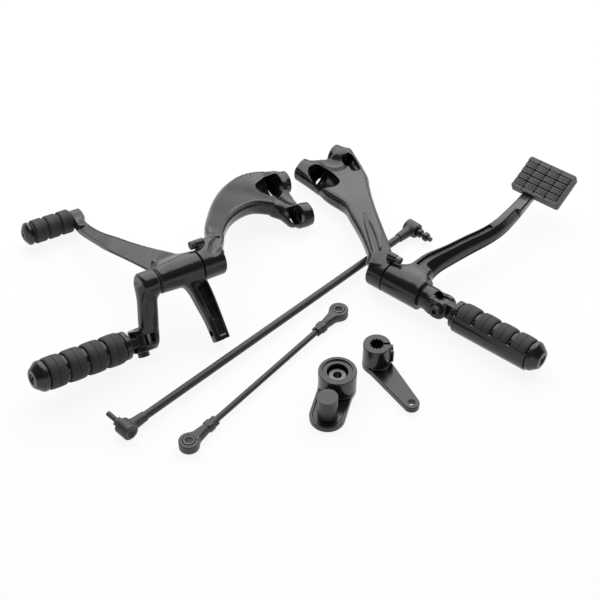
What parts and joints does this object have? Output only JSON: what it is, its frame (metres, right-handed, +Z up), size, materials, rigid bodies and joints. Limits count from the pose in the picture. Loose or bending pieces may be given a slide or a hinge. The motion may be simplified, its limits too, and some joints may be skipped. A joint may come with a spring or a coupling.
{
  "type": "motorcycle forward controls",
  "caption": "Forward foot controls for a motorcycle, laid out loose: shift and brake assemblies with folding pegs, linkage rods, relay arm and clamp arm.",
  "frame": {"origin": "centre of the whole layout on the floor it lies on", "axes": "+X to the right of the pictured layout, from the shift side to the brake side; +Y away from the viewer; +Z up from the floor"},
  "size_m": [0.5806, 0.4296, 0.0774],
  "materials": {
    "gloss_black": "gloss black coat",
    "matt_black": "satin black",
    "rubber_black": "matt",
    "bronze": "plain",
    "steel": "satin"
  },
  "bodies": {
    "fixed_parts": {"left_bracket": "gloss_black", "left_stop_bolt": "matt_black", "left_shaft_screw": "matt_black", "left_peg_arm": "gloss_black", "left_thrust_washers": "matt_black", "left_clevis_screw": "matt_black", "right_bracket": "gloss_black", "right_stop_bolt": "steel", "right_shaft_screw": "matt_black", "right_peg_mount": "gloss_black", "right_thrust_washers": "matt_black", "right_clevis_screw": "matt_black", "long_rod": "matt_black", "near_socket": "matt_black", "far_socket": "matt_black", "short_rod": "matt_black", "near_rod_end": "matt_black", "far_rod_end": "matt_black", "jam_nuts": "matt_black", "relay_arm": "gloss_black", "relay_bush": "steel", "relay_post": "matt_black", "clamp_arm": "gloss_black"},
    "shift_lever": {"shift_lever": "gloss_black", "shift_lever_bushes": "bronze", "shift_peg_sleeve": "matt_black", "shift_peg_rubber": "rubber_black", "shift_peg_cap": "gloss_black", "shift_peg_screw": "matt_black"},
    "left_peg": {"left_peg_body": "gloss_black", "left_peg_pads": "rubber_black", "left_peg_cap": "gloss_black", "left_peg_screw": "matt_black"},
    "brake_lever": {"brake_lever": "gloss_black", "brake_lever_bushes": "bronze", "brake_pad_rubber": "rubber_black"},
    "right_peg": {"right_peg_body": "gloss_black", "right_peg_pads": "rubber_black", "right_peg_cap": "gloss_black", "right_peg_screw": "matt_black"},
    "near_stud": {"near_stud": "matt_black"},
    "far_stud": {"far_stud": "matt_black", "far_stud_nut": "matt_black"},
    "near_eye_ball": {"near_eye_ball": "steel"},
    "far_eye_ball": {"far_eye_ball": "steel"}
  },
  "joints": [
    {"name": "shift_lever_pivot", "type": "hinge", "parent": "fixed_parts", "child": "shift_lever", "pos_m": [-0.09862, -0.02878, 0.058], "axis": [0.8203, 0.5638, -0.0959], "range_deg": [-12, 12]},
    {"name": "left_peg_fold", "type": "hinge", "parent": "fixed_parts", "child": "left_peg", "pos_m": [-0.15313, -0.08784, 0.01614], "axis": [-0.2548, 0.5568, 0.7906], "range_deg": [0, 70]},
    {"name": "brake_lever_pivot", "type": "hinge", "parent": "fixed_parts", "child": "brake_lever", "pos_m": [0.08838, 0.00122, 0.0165], "axis": [0.7716, -0.6361, 0], "range_deg": [0, 20]},
    {"name": "right_peg_fold", "type": "hinge", "parent": "fixed_parts", "child": "right_peg", "pos_m": [0.13874, -0.04224, 0.0165], "axis": [-0.6144, -0.7453, 0.2588], "range_deg": [0, 80]},
    {"name": "near_stud_tilt", "type": "hinge", "parent": "fixed_parts", "child": "near_stud", "pos_m": [-0.15662, -0.19078, 0.008], "axis": [0.7058, 0.7084, 0], "range_deg": [-8, 8]},
    {"name": "far_stud_tilt", "type": "hinge", "parent": "fixed_parts", "child": "far_stud", "pos_m": [0.11738, 0.08422, 0.008], "axis": [0.7058, 0.7084, 0], "range_deg": [-8, 8]},
    {"name": "near_eye_ball_tilt", "type": "hinge", "parent": "fixed_parts", "child": "near_eye_ball", "pos_m": [-0.09962, -0.20528, 0.005], "axis": [0.6342, 0.7731, 0], "range_deg": [-12, 12]},
    {"name": "far_eye_ball_tilt", "type": "hinge", "parent": "fixed_parts", "child": "far_eye_ball", "pos_m": [0.03738, -0.03828, 0.005], "axis": [0.6342, 0.7731, 0], "range_deg": [-12, 12]}
  ]
}
